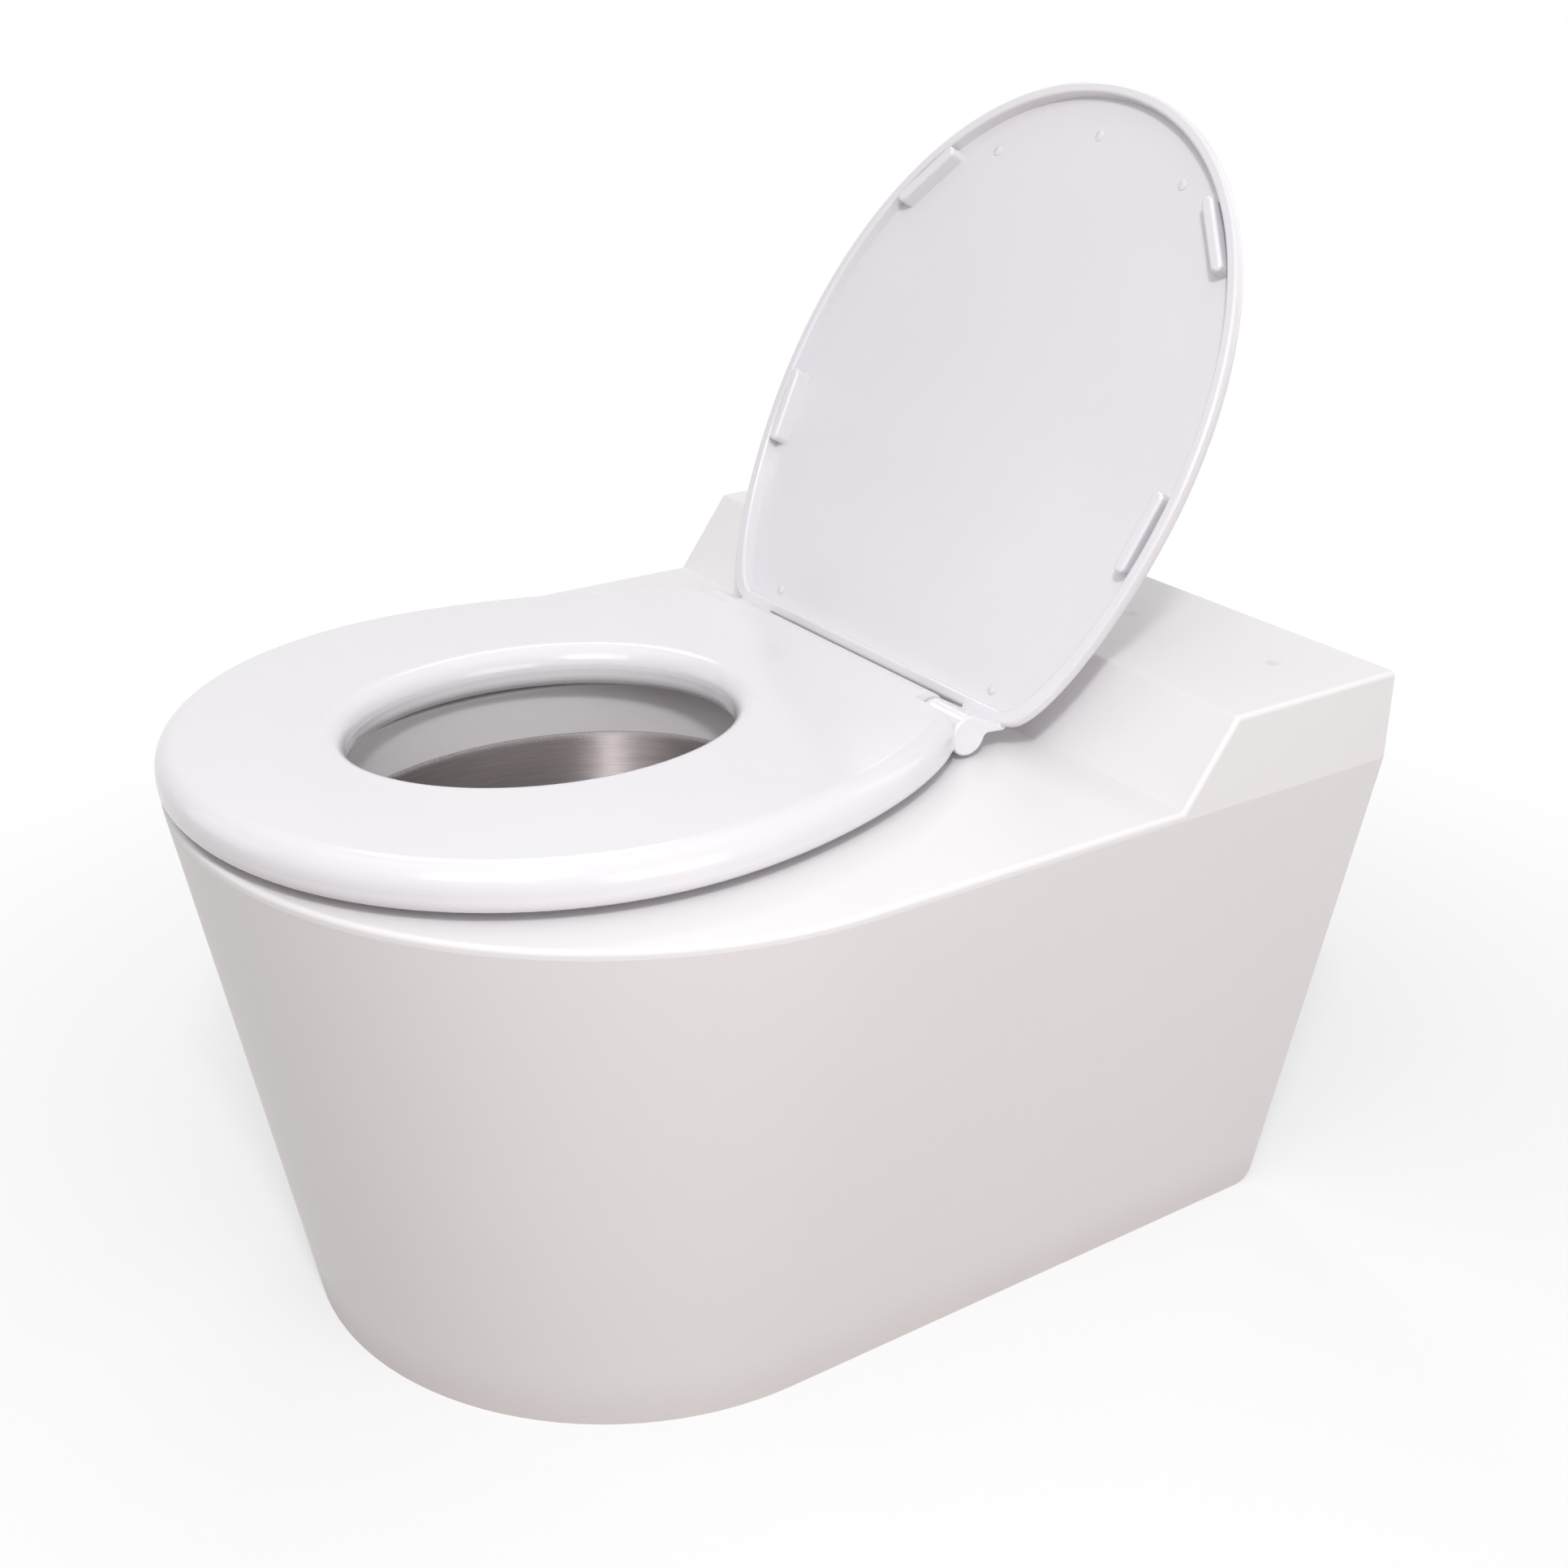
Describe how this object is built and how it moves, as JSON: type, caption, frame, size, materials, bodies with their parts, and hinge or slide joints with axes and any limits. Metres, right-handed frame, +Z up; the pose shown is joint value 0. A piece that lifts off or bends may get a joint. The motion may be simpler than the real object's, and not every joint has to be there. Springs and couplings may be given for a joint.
{
  "type": "bariatric toilet",
  "caption": "Floor-standing bariatric toilet: white-coated steel pan with tapered skirt, raised rear ledge, steel bowl, and a wide hinged seat ring and lid shown open.",
  "frame": {"origin": "On the floor, at the centre of the four floor bolts, on the centre line; the wall plane is 220 mm behind it.", "axes": "+X to the user's left when seated (the side seen in the picture), +Y towards the wall, +Z up; the front of the pan points to -Y."},
  "size_m": [0.604, 0.752, 0.8165],
  "materials": {
    "white_coat": "smooth satin white coating",
    "bowl_steel": "satin stainless steel",
    "hinge_steel": "satin stainless steel",
    "seat_plastic": "glossy white moulded plastic",
    "rubber": "matt dark rubber",
    "bush_plastic": "matt white bearing plastic"
  },
  "bodies": {
    "pan": {"skirt": "white_coat", "deck_plate": "white_coat", "ledge_cover": "white_coat", "base_flange": "white_coat", "wall_flange_right": "white_coat", "wall_flange_left": "white_coat", "brace_right_front": "white_coat", "brace_left_front": "white_coat", "brace_right_rear": "white_coat", "brace_left_rear": "white_coat", "bowl": "bowl_steel", "trap": "bowl_steel", "outlet_spigot": "bowl_steel", "inlet_pipe": "bowl_steel", "hinge_post_right": "hinge_steel", "hinge_post_left": "hinge_steel", "hinge_rod": "hinge_steel", "hinge_studs": "hinge_steel", "hinge_washers": "hinge_steel", "hinge_nuts": "hinge_steel", "hinge_gaskets": "rubber"},
    "seat": {"seat_ring": "seat_plastic", "seat_bushes": "bush_plastic", "seat_bumpers": "rubber"},
    "lid": {"lid_shell": "seat_plastic", "lid_buffers": "seat_plastic", "lid_bushes": "bush_plastic", "lid_caps": "seat_plastic"}
  },
  "joints": [
    {"name": "lid_hinge", "type": "hinge", "parent": "pan", "child": "lid", "pos_m": [0, -0.037, 0.418], "axis": [1, 0, 0], "range_deg": [0, 118]},
    {"name": "seat_hinge", "type": "hinge", "parent": "pan", "child": "seat", "pos_m": [0, -0.037, 0.418], "axis": [-1, 0, 0], "range_deg": [0, 115]}
  ]
}
